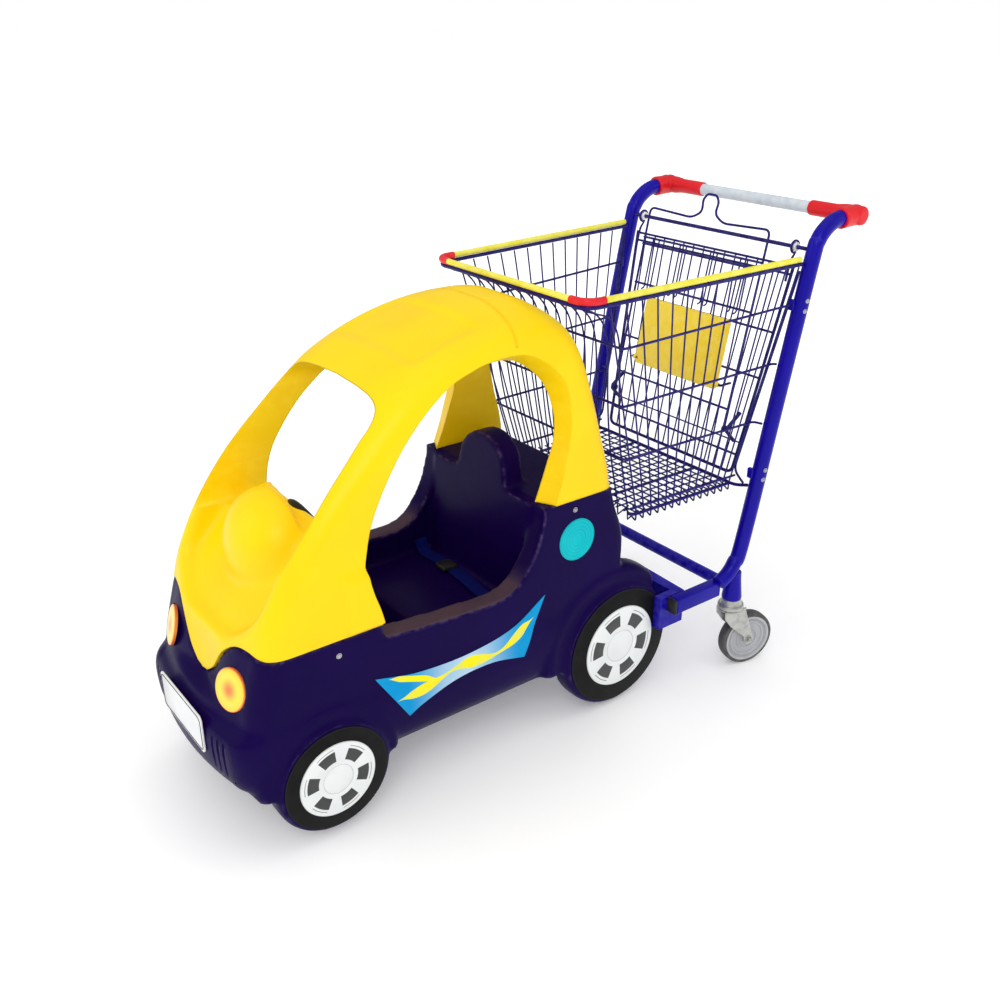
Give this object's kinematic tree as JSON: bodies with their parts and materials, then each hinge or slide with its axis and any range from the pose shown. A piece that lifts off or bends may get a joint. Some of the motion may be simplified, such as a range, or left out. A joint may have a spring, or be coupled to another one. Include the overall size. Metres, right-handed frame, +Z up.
{
  "type": "shopping cart",
  "caption": "Shopping cart with a wire basket, hinged rear gate, folding child seat, swivel casters and a moulded ride-in play car for a child on its front.",
  "frame": {"origin": "on the floor under the middle of the cart's bounding box", "axes": "+X points forward to the nose of the car, +Y points to the cart's left, +Z points up"},
  "size_m": [1.4083, 0.5952, 0.9823],
  "materials": {
    "frame_paint": "glossy saturated blue powder coat",
    "wire_paint": "dark navy powder coat on wire",
    "handle_paint": "light grey blue enamel",
    "red_plastic": "moulded red plastic",
    "rim_plastic": "pale yellow extruded rim cover",
    "white_plastic": "white plastic",
    "galvanised": "zinc plated pressed steel",
    "grey_plastic": "grey moulded caster wheel",
    "tread": "dark grey rubber tread",
    "body_plastic": "dark purple blue rotomoulded plastic, satin with orange peel",
    "canopy_plastic": "bright yellow rotomoulded plastic",
    "seat_plastic": "yellow moulded flap",
    "lamp_plastic": "amber printed disc",
    "black_plastic": "matt black"
  },
  "bodies": {
    "cart": {"basket_floor": "wire_paint", "basket_front": "wire_paint", "basket_side_left": "wire_paint", "basket_side_right": "wire_paint", "canopy": "canopy_plastic", "car_body": "body_plastic", "car_chassis": "frame_paint", "caster_race_left": "galvanised", "caster_race_right": "galvanised", "caster_socket_left": "frame_paint", "caster_socket_right": "frame_paint", "front_axle_left": "galvanised", "front_axle_right": "galvanised", "front_fork_left": "galvanised", "front_fork_right": "galvanised", "handle_end_left": "red_plastic", "handle_end_right": "red_plastic", "handle_tube": "handle_paint", "headlight_left": "lamp_plastic", "headlight_right": "lamp_plastic", "hinge_bush_left": "white_plastic", "hinge_bush_right": "white_plastic", "hinge_rod": "wire_paint", "hubcap_front_left": "white_plastic", "hubcap_front_right": "white_plastic", "hubcap_rear_left": "white_plastic", "hubcap_rear_right": "white_plastic", "number_plate": "white_plastic", "rail_plug_left": "black_plastic", "rail_plug_right": "black_plastic", "rear_cross_bar": "frame_paint", "rim_corner_left": "red_plastic", "rim_corner_right": "red_plastic", "rim_cover_front": "rim_plastic", "rim_cover_left": "rim_plastic", "rim_cover_right": "rim_plastic", "rim_wire": "wire_paint", "side_rail_left": "frame_paint", "side_rail_right": "frame_paint", "steering_column": "black_plastic", "tyre_disc_front_left": "black_plastic", "tyre_disc_front_right": "black_plastic", "tyre_disc_rear_left": "black_plastic", "tyre_disc_rear_right": "black_plastic", "upright_left": "frame_paint", "upright_right": "frame_paint"},
    "caster_left": {"caster_axle_left": "galvanised", "caster_fork_left": "galvanised"},
    "caster_right": {"caster_axle_right": "galvanised", "caster_fork_right": "galvanised"},
    "wheel_rear_left": {"caster_tyre_left": "tread", "caster_wheel_left": "grey_plastic"},
    "wheel_rear_right": {"caster_tyre_right": "tread", "caster_wheel_right": "grey_plastic"},
    "wheel_front_left": {"front_wheel_left": "tread"},
    "wheel_front_right": {"front_wheel_right": "tread"},
    "gate": {"gate_panel": "wire_paint"},
    "seat_back": {"seat_back_frame": "wire_paint"},
    "seat_flap": {"seat_panel": "seat_plastic"},
    "steering": {"steering_wheel": "black_plastic"}
  },
  "joints": [
    {"name": "gate_hinge", "type": "hinge", "parent": "cart", "child": "gate", "pos_m": [-0.56553, 0, 0.905], "axis": [0, -1, 0], "range_deg": [0, 52]},
    {"name": "seat_back_hinge", "type": "hinge", "parent": "gate", "child": "seat_back", "pos_m": [-0.45865, 0, 0.53], "axis": [0, 1, 0], "range_deg": [0, 48]},
    {"name": "seat_panel_hinge", "type": "hinge", "parent": "gate", "child": "seat_flap", "pos_m": [-0.47546, 0, 0.612], "axis": [0, 1, 0], "range_deg": [0, 77]},
    {"name": "swivel_left", "type": "hinge", "parent": "cart", "child": "caster_left", "pos_m": [-0.431, 0.257, 0.15], "axis": [0, 0, 1], "continuous": true},
    {"name": "swivel_right", "type": "hinge", "parent": "cart", "child": "caster_right", "pos_m": [-0.431, -0.257, 0.15], "axis": [0, 0, 1], "continuous": true},
    {"name": "roll_rear_left", "type": "hinge", "parent": "caster_left", "child": "wheel_rear_left", "pos_m": [-0.47543, 0.26891, 0.0625], "axis": [0.2588, 0.9659, 0], "continuous": true},
    {"name": "roll_rear_right", "type": "hinge", "parent": "caster_right", "child": "wheel_rear_right", "pos_m": [-0.47543, -0.26891, 0.0625], "axis": [-0.2588, 0.9659, 0], "continuous": true},
    {"name": "roll_front_left", "type": "hinge", "parent": "cart", "child": "wheel_front_left", "pos_m": [0.47, 0.118, 0.0625], "axis": [0, 1, 0], "continuous": true},
    {"name": "roll_front_right", "type": "hinge", "parent": "cart", "child": "wheel_front_right", "pos_m": [0.47, -0.118, 0.0625], "axis": [0, 1, 0], "continuous": true},
    {"name": "steering_turn", "type": "hinge", "parent": "cart", "child": "steering", "pos_m": [0.428, 0, 0.495], "axis": [-0.8988, 0, 0.4384], "continuous": true}
  ],
  "couplings": [
    {"joint": "seat_panel_hinge", "follows": "seat_back_hinge", "ratio": 1.6}
  ]
}
